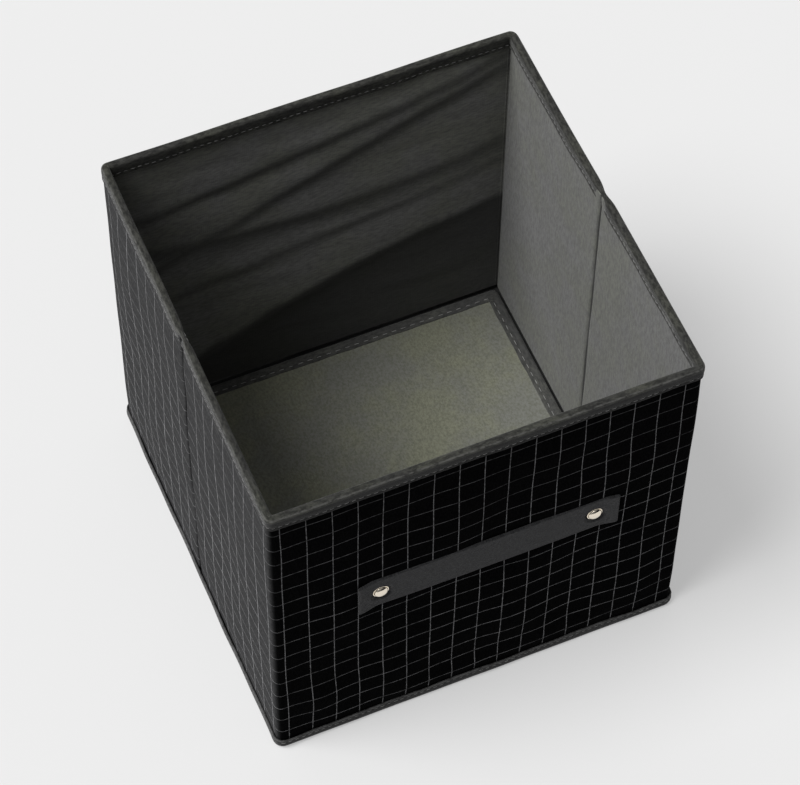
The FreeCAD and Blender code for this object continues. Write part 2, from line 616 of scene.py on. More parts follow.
@dataclass(frozen=True)
class PlainCloth:
    """Non-woven cloth in one hue, mottled, napped and pressed with small dots, with painted shade
    at its corners and creases and below the back wall's folds.
    """

    name: str
    base: Colour
    mottle: Colour
    deep: Colour
    mottle_size: float = 28 * MM
    mottle_share: float = 1.0
    nap_share: float = 0.75
    nap_length: float = 3.2
    sheen: float = 0.15
    corner_at: float = 140 * MM
    crease_at: float = 280 * MM
    back_at: float = 420 * MM
    corner_shade_reach: float = 1.6 * MM
    folds: tuple[DragFold, ...] = ()

    def fold_shade(self, g: Graph, along: Value, up: Value) -> Value:
        """Painted shade below the folds of the back wall.

        Args:
            g: the material's graph.
            along: the cloth's coordinate along it.
            up: the one up it.

        Returns:
            How dark it is, from 0 to 1.
        """
        across = (along + 4 * self.corner_at) / -self.corner_at
        wander = (g.grain(along, 1.0, 1.0, 30 * MM, 4.0) - 0.5) * (10 * MM)
        shade = up * 0.0
        for fold in self.folds:
            below = fold.line(across) + wander - up
            reach = 10 * fold.above if fold is self.folds[0] else 1.1 * fold.above
            start = below.span(-5 * MM, fold.below)
            shade = shade.most(start * below.span(fold.below, reach, fold.shade, 0.0))
        return shade

    def build(self) -> bpy.types.Material:
        """Make the material.

        Returns:
            The material.
        """
        g = Graph.material(self.name)
        place, along, up = g.cloth_place()
        patches = g.grain(place, 1.0, 1.0, self.mottle_size, 2.0).span(0.40, 0.62)
        upright = g.grain(place, 1.0, self.nap_length, 1.5 * MM, 5.0)
        level = g.grain(place, self.nap_length, 1.0, 1.5 * MM, 8.0)
        on_back = abs(along).span(self.back_at - MM, self.back_at + MM)
        nap = upright * (1.0 - on_back) + level * on_back
        fibre = g.noise(place, 0.8 * MM, 4.0, 9.0)
        ground = g.mix(patches * self.mottle_share, self.base, self.mottle)
        worn_in = nap.span(0.66, 0.32) * self.nap_share
        colour = g.mix(worn_in, ground, self.deep)
        # painted shade below the back wall's folds
        folded = on_back * self.fold_shade(g, along, up)
        # painted shade: the cloth darkens at the walls' corners and in the side walls' creases
        corner_and_crease_shade = g.crease_shade(along, self.crease_at, self.corner_shade_reach)
        for corner in (self.corner_at, self.back_at):
            corner_and_crease_shade = corner_and_crease_shade.most(g.crease_shade(along, corner, self.corner_shade_reach))
        # painted shade: corners, creases and the undersides of the back folds are darkened to near
        # black
        colour = g.mix((corner_and_crease_shade * 0.85).most(folded), colour, (0.02, 0.02, 0.02))
        dots = g.emboss(along, up, 1.3 * MM)
        relief = fibre * 0.35 + nap * 0.45 + (1.0 - dots) * 0.2
        rough = fibre.span(0.2, 0.8, 0.82, 0.97)
        return g.finish(
            colour, rough, relief, 0.22 * MM,
            {"Sheen Weight": self.sheen, "Sheen Roughness": 0.45, "Specular IOR Level": 0.05},
        )


@dataclass(frozen=True)
class BindingTape:
    """Folded binding tape: fine lengthwise ribs, matted, paler along its fold from wear and a
    painted highlight, and with painted shade on its outer leg when shade is above 0.
    """

    name: str
    base: Colour
    rubbed_and_side_lit: Colour
    deep: Colour
    fold: Colour
    fold_at: float = 10.4 * MM
    fold_reach: float = 1.1 * MM
    shade_to: float = 9.0 * MM
    shade: float = 0.0

    def build(self) -> bpy.types.Material:
        """Make the material.

        Returns:
            The material.
        """
        g = Graph.material(self.name)
        place, _, up = g.cloth_place()
        blotch = g.noise(g.stretched(place, 0.5, 1.0), 14 * MM, 3.0, 4.0)
        matted = g.grain(place, 2.2, 1.0, 1.7 * MM, 6.0)
        ribs = (up * (2 * math.pi / (0.9 * MM)) + blotch * 2.0).sine() * 0.5 + 0.5
        ground = g.mix(blotch.span(0.35, 0.7), self.base, self.rubbed_and_side_lit)
        # painted shade: the outer leg, below shade_to, is darkened towards deep
        shaded = up.span(self.shade_to - 1.5 * MM, self.shade_to, self.shade, 0.0)
        ground = g.mix(shaded, ground, self.deep)
        colour = g.mix(matted.span(0.64, 0.36) * 0.75, ground, self.deep)
        # paler along the fold: partly wear, partly a painted highlight of the lit edge
        wear_and_highlight = abs(up - self.fold_at).span(0.0, self.fold_reach, 1.0, 0.0)
        colour = g.mix(wear_and_highlight * matted.span(0.35, 0.6, 0.15, 0.9), colour, self.fold)
        relief = ribs * 0.3 + matted * 0.7
        rough = matted.span(0.2, 0.8, 0.75, 0.95)
        return g.finish(
            colour, rough, relief, 0.22 * MM,
            {"Sheen Weight": 0.2, "Sheen Roughness": 0.4, "Specular IOR Level": 0.05},
        )


@dataclass(frozen=True)
class Felt:
    """Dense felt of the strap: short matted fibres in no direction."""

    name: str = "strap_felt"
    base: Colour = (0.014, 0.014, 0.015)
    light: Colour = (0.058, 0.058, 0.060)

    def build(self) -> bpy.types.Material:
        """Make the material.

        Returns:
            The material.
        """
        g = Graph.material(self.name)
        place, _, _ = g.cloth_place()
        warp = g.noise(place, 4 * MM, 2.0, 8.0)
        matted = g.node(
            "ShaderNodeTexNoise",
            {"noise_dimensions": "3D"},
            {"Vector": g.stretched(place, 1.0, 1.6), "Scale": 1 / (1.5 * MM), "Detail": 5.0,
             "Roughness": 0.75, "Distortion": 1.2},
        )
        colour = g.mix(matted.span(0.35, 0.7) * 0.8 + warp * 0.2, self.base, self.light)
        return g.finish(
            colour, matted.span(0.2, 0.8, 0.85, 1.0), matted, 0.25 * MM,
            {"Sheen Weight": 0.12, "Sheen Roughness": 0.5, "Specular IOR Level": 0.0},
        )


@dataclass(frozen=True)
class Thread:
    """Two-ply sewing thread, with its twist."""

    name: str
    pale: Colour
    dark: Colour

    def build(self) -> bpy.types.Material:
        """Make the material.

        Returns:
            The material.
        """
        g = Graph.material(self.name)
        place, along, up = g.cloth_place()
        twist = (along * (2 * math.pi / (0.9 * MM)) + up * (2 * math.pi / MM)).sine() * 0.5 + 0.5
        soil = g.noise(place, 11 * MM, 2.0, 5.0).span(0.3, 0.7)
        colour = g.mix((1.0 - twist) * 0.5 + soil * 0.4, self.pale, self.dark)
        return g.finish(
            colour, twist.span(0.0, 1.0, 0.75, 0.55), twist, 0.05 * MM,
            {"Sheen Weight": 0.3, "Specular IOR Level": 0.35},
        )


@dataclass(frozen=True)
class PaleBrass:
    """Polished pale brass with fine scratches and dull patches."""

    name: str = "pale_brass"
    bright: Colour = (0.84, 0.76, 0.64)
    dull: Colour = (0.50, 0.40, 0.28)

    def build(self) -> bpy.types.Material:
        """Make the material.

        Returns:
            The material.
        """
        g = Graph.material(self.name)
        place = g.node("ShaderNodeTexCoord", {}, (), "Object")
        cloud = g.noise(place, 2.2 * MM, 3.0, 3.0)
        scratch = g.noise(g.stretched(place, 1.0, 6.0), 0.35 * MM, 3.0, 6.0)
        colour = g.mix(cloud.span(0.55, 0.85) * 0.5, self.bright, self.dull)
        return g.finish(
            colour, scratch.span(0.3, 0.7, 0.07, 0.16) + cloud * 0.06, scratch, 0.01 * MM,
            {"Metallic": 1.0},
        )


@dataclass(frozen=True)
class GreyBoard:
    """Pressed grey-brown board that stiffens the walls."""

    name: str = "grey_board"
    base: Colour = (0.26, 0.235, 0.19)
    fleck: Colour = (0.14, 0.12, 0.10)

    def build(self) -> bpy.types.Material:
        """Make the material.

        Returns:
            The material.
        """
        g = Graph.material(self.name)
        place = g.node("ShaderNodeTexCoord", {}, (), "Object")
        pulp = g.noise(place, 1.8 * MM, 5.0, 2.0)
        flecks = g.noise(place, 0.7 * MM, 2.0, 4.0).span(0.62, 0.72)
        colour = g.mix(flecks * 0.7 + pulp * 0.3, self.base, self.fleck)
        return g.finish(colour, pulp.span(0.2, 0.8, 0.8, 0.95), pulp, 0.08 * MM)


@dataclass(frozen=True)
class StudioPaper:
    """Pale sheet, lit from behind, that the bin stands on."""

    name: str = "studio_paper"
    pale: Colour = (0.42, 0.42, 0.42)
    shade: Colour = (0.41, 0.41, 0.41)
    glow: float = 0.375

    def build(self) -> bpy.types.Material:
        """Make the material.

        Returns:
            The material.
        """
        g = Graph.material(self.name)
        place = g.node("ShaderNodeTexCoord", {}, (), "Object")
        cloud = g.noise(place, 0.4, 2.0, 1.0)
        return g.finish(
            g.mix(cloud, self.pale, self.shade), 0.9, None, 0.0,
            {"Specular IOR Level": 0.0, "Emission Color": (1.0, 1.0, 1.0),
             "Emission Strength": self.glow},
        )


class Finishes:
    """Every material of the bin, made once."""

    def __init__(self) -> None:
        """Build them all."""
        self.cover = GridCloth().build()
        self.lining = PlainCloth(
            "lining_cloth", base=(0.200, 0.200, 0.198), mottle=(0.185, 0.192, 0.150),
            deep=(0.095, 0.095, 0.093), mottle_size=60 * MM, mottle_share=0.6, nap_share=0.7,
            folds=BACK_FOLDS,
        ).build()
        self.insert = PlainCloth(
            "insert_cloth", base=(0.235, 0.240, 0.178), mottle=(0.205, 0.208, 0.188),
            deep=(0.125, 0.128, 0.100), mottle_size=55 * MM, nap_share=0.75, nap_length=1.3,
        ).build()
        self.bottom = PlainCloth(
            "bottom_cloth", base=(0.028, 0.028, 0.028), mottle=(0.034, 0.034, 0.032),
            deep=(0.018, 0.018, 0.018),
        ).build()
        self.rim = BindingTape(
            "rim_tape", base=(0.050, 0.050, 0.047), rubbed_and_side_lit=(0.068, 0.069, 0.058),
            deep=(0.010, 0.010, 0.010), fold=(0.11, 0.11, 0.105), shade=0.92,
        ).build()
        self.seam = BindingTape(
            "seam_tape", base=(0.024, 0.024, 0.024), rubbed_and_side_lit=(0.034, 0.034, 0.033),
            deep=(0.014, 0.014, 0.014), fold=(0.12, 0.12, 0.12), fold_at=0.6 * MM, shade_to=0.0,
        ).build()
        self.insert_tape = BindingTape(
            "insert_tape", base=(0.080, 0.080, 0.078), rubbed_and_side_lit=(0.105, 0.106, 0.096),
            deep=(0.040, 0.040, 0.039), fold=(0.15, 0.15, 0.145), fold_at=9.6 * MM,
        ).build()
        self.pale_thread = Thread("pale_thread", (0.38, 0.38, 0.37), (0.16, 0.16, 0.155)).build()
        self.grey_thread = Thread("grey_thread", (0.19, 0.19, 0.185), (0.07, 0.07, 0.07)).build()
        self.strap = Felt().build()
        self.brass = PaleBrass().build()
        self.board = GreyBoard().build()
        self.paper = StudioPaper().build()


# ---------------------------------------------------------------- meshes


def mesh_object(
    name: str,
    points: np.ndarray,
    faces: Sequence[Sequence[int]],
    cloth: np.ndarray,
    material: bpy.types.Material,
    crisp: float = 40.0,
) -> bpy.types.Object:
    """Make an object from points and faces.

    Args:
        name: the piece's name.
        points: one row of x, y, z for each point.
        faces: the points of each face, in order.
        cloth: the cloth's own coordinates of each point, for its "cloth" UV map.
        material: its finish.
        crisp: edges that turn by more than this many degrees stay sharp.

    Returns:
        The object, linked to the scene.
    """
    mesh = bpy.data.meshes.new(name)
    mesh.from_pydata(points.tolist(), [], faces)
    corners = np.zeros(len(mesh.loops), int)
    mesh.loops.foreach_get("vertex_index", corners)
    layer = mesh.uv_layers.new(name="cloth")
    layer.data.foreach_set("uv", cloth[corners].ravel())
    mesh.polygons.foreach_set("use_smooth", [True] * len(mesh.polygons))
    mesh.set_sharp_from_angle(angle=math.radians(crisp))
    mesh.materials.append(material)
    mesh.update()
    piece = bpy.data.objects.new(name, mesh)
    bpy.context.scene.collection.objects.link(piece)
    return piece


def sheet_object(
    name: str,
    face: np.ndarray,
    back: np.ndarray,
    cloth: np.ndarray,
    material: bpy.types.Material,
    loop: bool = False,
) -> bpy.types.Object:
    """Make a closed thin sheet from its two faces.

    Args:
        name: the piece's name.
        face: its outer face, rows by columns of x, y, z.
        back: its inner face, point for point behind the outer one.
        cloth: the cloth's own coordinates, rows by columns of two.
        material: its finish.
        loop: whether the last row meets the first, as in a band that closes on itself.

    Returns:
        The object.
    """
    rows, columns = face.shape[:2]
    ring = np.concatenate([face, back[:, ::-1]], 1)
    count = 2 * columns
    index = np.arange(rows * count).reshape(rows, count)
    following = np.roll(index, -1, 0) if loop else index[1:]
    here = index if loop else index[:-1]
    corners = [here, following, np.roll(following, -1, 1), np.roll(here, -1, 1)]
    faces = np.stack(corners, -1).reshape(-1, 4).tolist()
    if not loop:
        for row, flip in ((index[0], False), (index[-1], True)):
            for j in range(columns - 1):
                quad = [row[j], row[j + 1], row[count - 2 - j], row[count - 1 - j]]
                faces.append([int(i) for i in (quad[::-1] if flip else quad)])
    coordinates = np.concatenate([cloth, cloth[:, ::-1]], 1).reshape(-1, 2)
    return mesh_object(name, ring.reshape(-1, 3), faces, coordinates, material)


def normals_of(face: np.ndarray, loop: bool = False) -> np.ndarray:
    """Unit normals of a grid of points.

    Args:
        face: the points, rows by columns.
        loop: whether the last row meets the first.

    Returns:
        The normal at each point.
    """
    around = np.roll(face, -1, 0) - np.roll(face, 1, 0)
    along = around if loop else np.gradient(face, axis=0)
    normal = np.cross(along, np.gradient(face, axis=1))
    return normal / np.maximum(np.linalg.norm(normal, axis=-1, keepdims=True), 1e-12)


def graded(
    start: float,
    end: float,
    step: float,
    spots: Sequence[float],
    fine: float,
    reach: float = 9 * MM,
) -> np.ndarray:
    """Places from start to end, closer together near some spots.

    Args:
        start: the first place.
        end: the last one.
        step: how far apart they are.
        spots: where they are closer together.
        fine: how far apart they are there.
        reach: how far from a spot that goes.

    Returns:
        The places.
    """
    places = [start]
    while places[-1] < end - 1e-9:
        near = min(abs(places[-1] - spot) for spot in spots)
        places.append(places[-1] + (fine if near < reach else step))
    return start + (np.array(places) - start) * (end - start) / (places[-1] - start)


@dataclass(frozen=True)
class Section:
    """A folded tape's section: how far out of the line and how high each point of it is."""

    out: np.ndarray
    high: np.ndarray

    def sweep(self, us: np.ndarray) -> tuple[np.ndarray, np.ndarray, np.ndarray, np.ndarray]:
        """Repeat the section along the tape.

        Args:
            us: places along the tape.

        Returns:
            Grids of u, of the distance out, of the height and of the cloth's coordinates.
        """
        steps = np.hypot(np.diff(self.out), np.diff(self.high))
        run = np.concatenate([[0.0], np.cumsum(steps)])
        u, out = np.meshgrid(us, self.out, indexing="ij")
        high = np.broadcast_to(self.high, u.shape).copy()
        return u, out, high, np.stack([u, np.broadcast_to(run, u.shape)], -1)


def square_grid(half: float, count: int, flat: float, full: float) -> tuple[np.ndarray, ...]:
    """A square of points, and how free the cloth is at each.

    Args:
        half: the square's half width.
        count: points along each side.
        flat: how far in from the edge the cloth is held down.
        full: how far in from the edge it is free.

    Returns:
        Grids of x, of y and of the freedom, from 0 to 1.
    """
    places = np.linspace(-half, half, count)
    x, y = np.meshgrid(places, places, indexing="ij")
    return x, y, rise(half - np.abs(x), flat, full) * rise(half - np.abs(y), flat, full)


# ---------------------------------------------------------------- spans of wall


@dataclass(frozen=True)
class Span:
    """A stretch of the walls that is one piece of cloth, with the bodies and bend places that it
    lists for the fold.
    """

    name: str
    start: float
    end: float
    bodies: tuple[str, str]
    bend_start: tuple[float, float]
    bend_end: tuple[float, float]
    panels: tuple[str, ...]
    bare_start: float = 0.0
    bare_end: float = 0.0

    def attach(self, piece: bpy.types.Object) -> None:
        """Bake the piece's place into its mesh."""
        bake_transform(piece)

    def stand_for(self, layer: str) -> None:
        """Let the piece replace that layer of each of the span's panels."""
        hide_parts(*(f"{panel}_{layer}" for panel in self.panels))


@dataclass(frozen=True)
class Spans:
    """The five stretches that the walls' cloth is made in."""

    half: float
    # the corners bend between these two distances along the side walls
    corner_bend: float = 7.5 * MM
    beyond_corner: float = 14 * MM
    crease_reach: float = 5 * MM
    # the cloths' ends at the open back right corner
    open_end: float = 5.6 * MM
    bare: float = 5.0 * MM
    flap: float = 5.2 * MM

    def all(self) -> list[Span]:
        """The spans, with u from the middle of the front.

        Returns:
            Front, front right corner, left, right and back.
        """
        h, c, e, b = self.half, self.corner_bend, self.crease_reach, self.beyond_corner
        return [
            Span("front", -h - b, h - b, ("root", "left_front"),
                 (-h, c - h), (-h, b - h), ("front",)),
            Span("front_right_corner", h - b, h + b, ("root", "right_front"),
                 (h, c - h), (h, b - h), ("front",)),
            Span("left", b - 3 * h, -h - b, ("left_front", "left_rear"),
                 (-h, -e), (-h, e), ("left_front", "left_rear")),
            Span("right", h + b, 3 * h - self.open_end, ("right_front", "right_rear"),
                 (h, -e), (h, e), ("right_front", "right_rear"), bare_end=self.bare),
            Span("back", -5 * h - self.flap, b - 3 * h, ("left_rear", "back"),
                 (-h, h - b), (-h, h - c), ("back",), bare_start=self.bare),
        ]


class Layer(Enum):
    """The two cloths of a wall."""

    COVER = "cover"
    LINING = "lining"


@dataclass
class WallCloth:
    """One cloth that runs round the whole bin: the printed cover or the lining."""

    sizes: BinSizes
    layer: Layer
    thickness: float = 0.6 * MM
    step: float = 3.2 * MM
    rise_step: float = 2.4 * MM
    fine: float = 0.7 * MM
    bottom: float = 6.6 * MM
    tuck: float = 0.7 * MM
    top_inset: float = 2.2 * MM
    cover_radius: float = 4.8 * MM
    lining_radius: float = 2.0 * MM
    # the lining's room at a corner, and how much it gains per metre away from one
    tight: float = 0.4 * MM
    back_room: float = 0.026
    side_room: float = 0.006
    # the cloth is sewn down along its edges, and free this far in from them
    foot_free: float = 45 * MM
    rim_held: float = 8 * MM
    corner_held: float = 4 * MM
    edge_free: float = 40 * MM
    # how slack the cloth is on average
    cover_ease: float = 0.9 * MM
    hem_top: float = 110 * MM
    back_ease: float = 0.2 * MM
    side_ease: float = 0.5 * MM
    cover_waves: Ripples = Ripples(21, 0.7 * MM, 35 * MM, 110 * MM)
    hem_waves: Ripples = Ripples(5, 1.1 * MM, 35 * MM, 90 * MM, math.pi / 3, 1.6)
    back_waves: Ripples = Ripples(31, 0.35 * MM, 14 * MM, 45 * MM, math.radians(96), 0.5, 9)
    side_waves: Ripples = Ripples(44, 0.45 * MM, 60 * MM, 150 * MM)
    crease_wander: Ripples = Ripples(9, 0.4 * MM, 40 * MM, 160 * MM)
    # grooves between the boards
    cover_groove: float = 1.9 * MM
    lining_groove: float = 1.5 * MM
    groove_reach: float = 1.6 * MM
    corner_groove: float = 0.8 * MM
    corner_reach: float = 1.4 * MM

    def loop(self) -> PlanLoop:
        """The line of the cloth's visible face.

        Returns:
            The line.
        """
        if self.layer is Layer.COVER:
            return PlanLoop(self.sizes.half, self.sizes.cover, self.cover_radius)
        return PlanLoop(self.sizes.half, self.sizes.lining, self.lining_radius)

    def slack(self, u: np.ndarray, v: np.ndarray) -> np.ndarray:
        """How far the cloth stands off its board.

        Args:
            u: distances along the line.
            v: heights.

        Returns:
            The gap at each point.
        """
        h = self.sizes.half
        wall = np.mod(np.floor((u + h) / (2 * h)), 4)
        along = np.mod(u + h, 2 * h) - h
        from_top, from_corner = self.sizes.height - v, h - np.abs(along)
        in_height = rise(v, self.bottom, self.foot_free)
        in_height *= rise(from_top, self.rim_held, self.edge_free)
        in_width = rise(from_corner, self.corner_held, self.edge_free)
        if self.layer is Layer.COVER:
            return self.cover_slack(u, v, wall == 0, in_height, in_width)
        on_back = (wall == 2).astype(float)
        on_side = ((wall == 1) | (wall == 3)).astype(float)
        folds = sum(fold.at(-along / h, v) for fold in BACK_FOLDS)
        spare = (self.back_waves.at(u, v) + folds + self.back_ease) * on_back
        spare += (self.side_waves.at(u, v) + self.side_ease) * (1 - on_back)
        settle = 1 - 0.5 * on_side * bell(np.abs(along), 25 * MM)
        at_foot = bell(v - self.bottom, 7 * MM) * rise(from_corner, 0.0, 12 * MM)
        room = self.tight + np.where(on_back > 0, self.back_room, self.side_room) * from_corner
        loose = np.maximum(spare, 0.0) * in_height * in_width * settle
        return room * np.tanh(loose / room) + self.tuck * at_foot * on_side

    def cover_slack(
        self,
        u: np.ndarray,
        v: np.ndarray,
        on_front: np.ndarray,
        in_height: np.ndarray,
        in_width: np.ndarray,
    ) -> np.ndarray:
        """How far the cover stands off its board, most of all along the front's hem.

        Args:
            u: distances along the line.
            v: heights.
            on_front: whether each point is on the front wall.
            in_height: how free the cloth is of the wall's top and bottom.
            in_width: how free it is of the wall's sides.

        Returns:
            The gap at each point.
        """
        body = (self.cover_waves.at(u, v) + self.cover_ease) * in_height * (0.35 + 0.65 * in_width)
        hem = rise(v, self.bottom, 25 * MM) * rise(self.hem_top - v, 0.0, 90 * MM)
        bulge = (self.hem_waves.at(u, v) + self.cover_ease) * hem * in_width * on_front
        return np.maximum(body + bulge, 0.0)

    def crease(self, u: np.ndarray, v: np.ndarray) -> np.ndarray:
        """How far the cloth is drawn into the grooves between the boards.

        Args:
            u: distances along the line.
            v: heights.

        Returns:
            The depth at each point.
        """
        h = self.sizes.half
        depth = self.cover_groove if self.layer is Layer.COVER else self.lining_groove
        wander = self.crease_wander.at(v, v * 0)
        distance = np.minimum(np.abs(u - 2 * h + wander), np.abs(u + 2 * h + wander))
        below_rim = rise(self.sizes.height - v, 3 * MM, 12 * MM)
        groove = depth * bell(distance, self.groove_reach) * below_rim
        if self.layer is Layer.COVER:
            return groove
        from_corner = h - np.abs(np.mod(u + h, 2 * h) - h)
        return groove + self.corner_groove * bell(from_corner, self.corner_reach)

    def face(self, u: np.ndarray, v: np.ndarray) -> np.ndarray:
        """Points of the cloth's visible face.

        Args:
            u: distances along the line.
            v: heights.

        Returns:
            The points.
        """
        away = 1.0 if self.layer is Layer.COVER else -1.0
        out = away * (self.slack(u, v) - self.crease(u, v))
        return self.loop().place(u, out, v)

    def build(self, span: Span, material: bpy.types.Material) -> bpy.types.Object:
        """Make the span's piece of this cloth.

        Args:
            span: the stretch of wall.
            material: the cloth's finish.

        Returns:
            The piece.
        """
        h = self.sizes.half
        spots = [-3 * h, -2 * h, -h, h, 2 * h, 3 * h, -5 * h]
        start, end = self.loop().nominal(span.start), self.loop().nominal(span.end)
        us = graded(start, end, self.step, spots, self.fine)
        top = self.sizes.height - self.top_inset
        vs = graded(self.bottom, top, self.rise_step, [self.bottom], 2 * MM)
        u, v = np.meshgrid(us, vs, indexing="ij")
        face = self.face(u, v)
        inward = -1.0 if self.layer is Layer.COVER else 1.0
        facing = self.loop().at(u)[1] * inward * self.thickness
        shift = np.concatenate([facing, np.zeros_like(v)[..., None]], -1)
        cloth = np.stack([u, v], -1)
        back = face + shift
        if self.layer is Layer.LINING:
            face, back, cloth = face[::-1], back[::-1], cloth[::-1]
        name = f"{span.name}_{self.layer.value}_cloth"
        piece = sheet_object(name, face, back, cloth, material)
        span.stand_for(self.layer.value)
        span.attach(piece)
        flat = (self.loop().length(start, end), top - self.bottom)
        LOG.info("%s: %d points", name, len(piece.data.vertices))
        return piece


# ---------------------------------------------------------------- stitches


@dataclass(frozen=True)
class StitchRow:
    """A row of lockstitches: short bent threads that dive into the cloth at both ends."""

    seed: int
    length: float = 3.3 * MM
    pitch: float = 4.6 * MM
    radius: float = 0.24 * MM
    stand: float = 0.12 * MM
    sides: int = 6
    rings: int = 7

    def starts(self, start: float, end: float) -> np.ndarray:
        """Where each stitch begins, between two places along the seam."""
        first = math.ceil(start / self.pitch) * self.pitch
        return np.arange(first, end - self.length, self.pitch)

    def build(
        self,
        name: str,
        from_points: np.ndarray,
        to_points: np.ndarray,
        facing: np.ndarray,
        material: bpy.types.Material,
    ) -> bpy.types.Object:
        """Make every stitch of a row as one mesh.

        Args:
            name: the piece's name.
            from_points: where each stitch starts on the cloth.
            to_points: where each one ends.
            facing: the cloth's normal at each one.
            material: the thread's finish.

        Returns:
            The object.
        """
        rng = np.random.default_rng(self.seed)
        count = len(from_points)
        jitter = rng.normal(0.0, 0.08 * MM, (count, 2, 3))
        starts, ends = from_points + jitter[:, 0], to_points + jitter[:, 1]
        way = ends - starts
        along = way / np.linalg.norm(way, axis=1, keepdims=True)
        side = np.cross(facing, along)
        side /= np.linalg.norm(side, axis=1, keepdims=True)
        up = np.cross(along, side)
        share = np.linspace(0.0, 1.0, self.rings)
        arch = np.sin(math.pi * share)
        lift = self.stand * arch**0.5 - self.radius * 1.3 * (1 - arch**0.35)
        girth = self.radius * (0.55 + 0.45 * arch**0.5)
        angle = np.arange(self.sides) * 2 * math.pi / self.sides
        centre = starts[:, None] + way[:, None] * share[:, None] + up[:, None] * lift[:, None]
        cosine, sine = np.cos(angle)[:, None], np.sin(angle)[:, None]
        around = cosine * up[:, None, None] + sine * side[:, None, None]
        points = centre[:, :, None] + around * girth[:, None, None]
        index = np.arange(count * self.rings * self.sides).reshape(count, self.rings, self.sides)
        here, following = index[:, :-1], index[:, 1:]
        corners = [here, np.roll(here, -1, 2), np.roll(following, -1, 2), following]
        faces = np.stack(corners, -1).reshape(-1, 4).tolist()
        for stitch in index:
            faces.append(stitch[0][::-1].tolist())
            faces.append(stitch[-1].tolist())
        run = (np.arange(count) * self.pitch)[:, None, None] + (share * self.length)[:, None]
        turn = angle / (2 * math.pi) * MM
        cloth = np.stack(np.broadcast_arrays(run, turn), -1).reshape(-1, 2)
        return mesh_object(name, points.reshape(-1, 3), faces, cloth, material, 80.0)

    def sew(
        self,
        name: str,
        face: Callable[[np.ndarray], tuple[np.ndarray, ...]],
        start: float,
        end: float,
        column: int,
        thread: bpy.types.Material,
    ) -> bpy.types.Object:
        """Sew a row along a tape.

        Args:
            name: the piece's name.
            face: gives the tape's points and normals at places along it.
            start: where the row starts.
            end: where it ends.
            column: which point of the tape's section it runs along.
            thread: the thread's finish.

        Returns:
            The stitches.
        """
        starts = self.starts(start, end)
        begin, normal = face(starts)[:2]
        finish = face(starts + self.length)[0]
        return self.build(name, begin[:, column], finish[:, column], normal[:, column], thread)


# ---------------------------------------------------------------- rim


